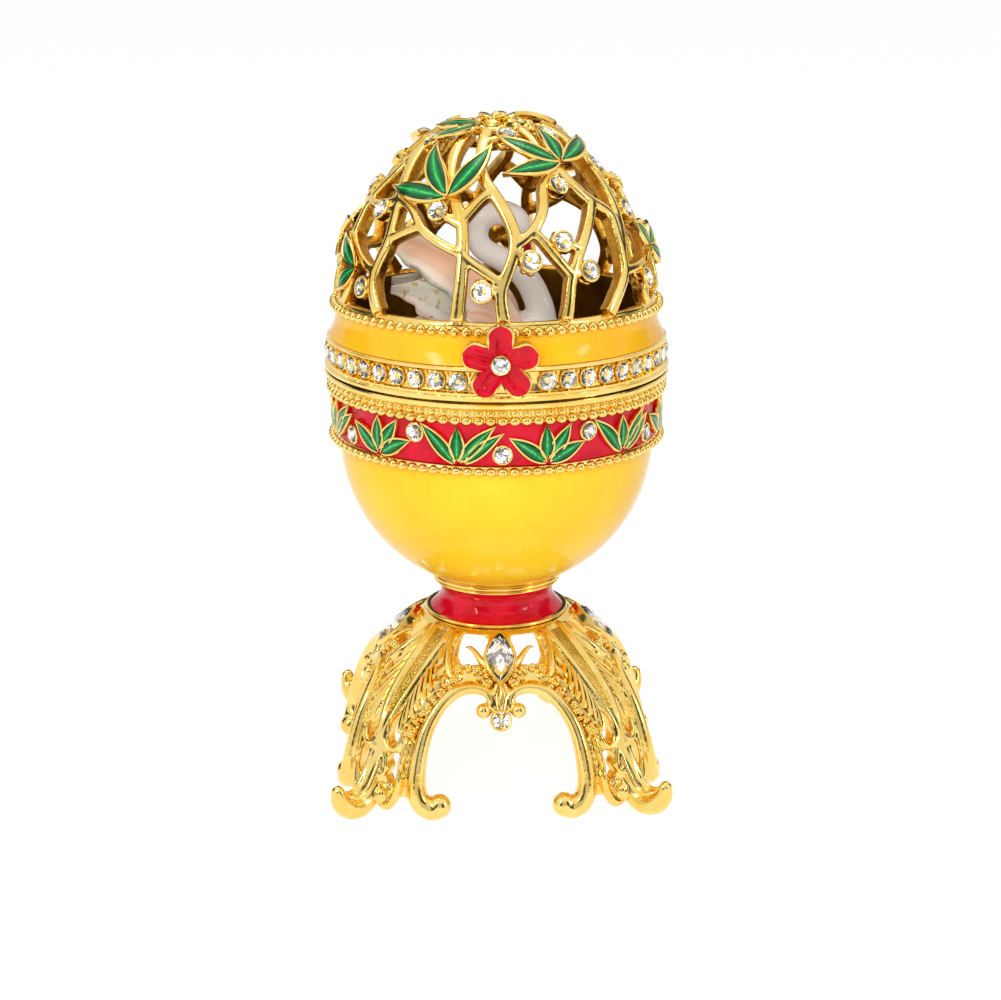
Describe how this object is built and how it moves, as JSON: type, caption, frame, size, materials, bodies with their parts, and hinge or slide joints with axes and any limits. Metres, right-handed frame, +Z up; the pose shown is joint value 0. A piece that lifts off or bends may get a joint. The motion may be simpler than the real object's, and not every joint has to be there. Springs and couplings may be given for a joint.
{
  "type": "egg trinket box on stand",
  "caption": "Hinged egg-shaped trinket box with an openwork dome lid, flower clasp, enamel bands and a swan inside, on a pierced scroll-footed stand.",
  "frame": {"origin": "centre of the bounding box's bottom face, on the table under the egg's axis", "axes": "+Z up along the egg's axis, -Y towards the flower clasp at the front, +X to the viewer's right"},
  "size_m": [0.0608, 0.067, 0.12],
  "materials": {
    "gilt": "polished gold plating",
    "yellow_enamel": "gloss",
    "red_enamel": "gloss",
    "green_enamel": "gloss",
    "crystal": "faceted, clear",
    "cream_enamel": "gloss",
    "peach_enamel": "gloss",
    "steel": "satin"
  },
  "bodies": {
    "base": {"stand": "gilt", "collar": "gilt", "bowl": "gilt", "hinge_leaf_base": "gilt", "hinge_pin": "gilt", "swan_post": "gilt", "stand_screw": "steel", "screw_washer": "steel", "base_magnet": "steel", "bowl_enamel": "yellow_enamel", "collar_enamel": "red_enamel", "frieze_enamel": "red_enamel", "frieze_spray_1": "green_enamel", "frieze_spray_2": "green_enamel", "frieze_spray_3": "green_enamel", "frieze_spray_4": "green_enamel", "frieze_spray_5": "green_enamel", "frieze_spray_6": "green_enamel", "frieze_spray_7": "green_enamel", "frieze_spray_8": "green_enamel", "frieze_spray_9": "green_enamel", "frieze_spray_10": "green_enamel", "frieze_spray_11": "green_enamel", "frieze_spray_12": "green_enamel", "marquise_stone_1": "crystal", "marquise_stone_2": "crystal", "marquise_stone_3": "crystal", "marquise_stone_4": "crystal", "pendant_stone_1": "crystal", "pendant_stone_2": "crystal", "pendant_stone_3": "crystal", "pendant_stone_4": "crystal", "swan_body": "cream_enamel", "swan_wing_right": "peach_enamel", "swan_wing_left": "peach_enamel"},
    "lid": {"lid_band": "gilt", "lid_enamel": "yellow_enamel", "lid_stone_row": "crystal", "lid_lattice": "gilt", "leaf_spray_1": "green_enamel", "leaf_spray_2": "green_enamel", "leaf_spray_3": "green_enamel", "leaf_spray_4": "green_enamel", "leaf_spray_5": "green_enamel", "leaf_spray_6": "green_enamel", "leaf_spray_7": "green_enamel", "leaf_spray_8": "green_enamel", "clasp_flower": "gilt", "flower_enamel": "red_enamel", "flower_stone": "crystal", "hinge_leaf_lid": "gilt", "lid_magnet": "steel"}
  },
  "joints": [
    {"name": "lid_hinge", "type": "hinge", "parent": "base", "child": "lid", "pos_m": [0, 0.032, 0.0753], "axis": [-1, 0, 0], "range_deg": [0, 100]}
  ]
}
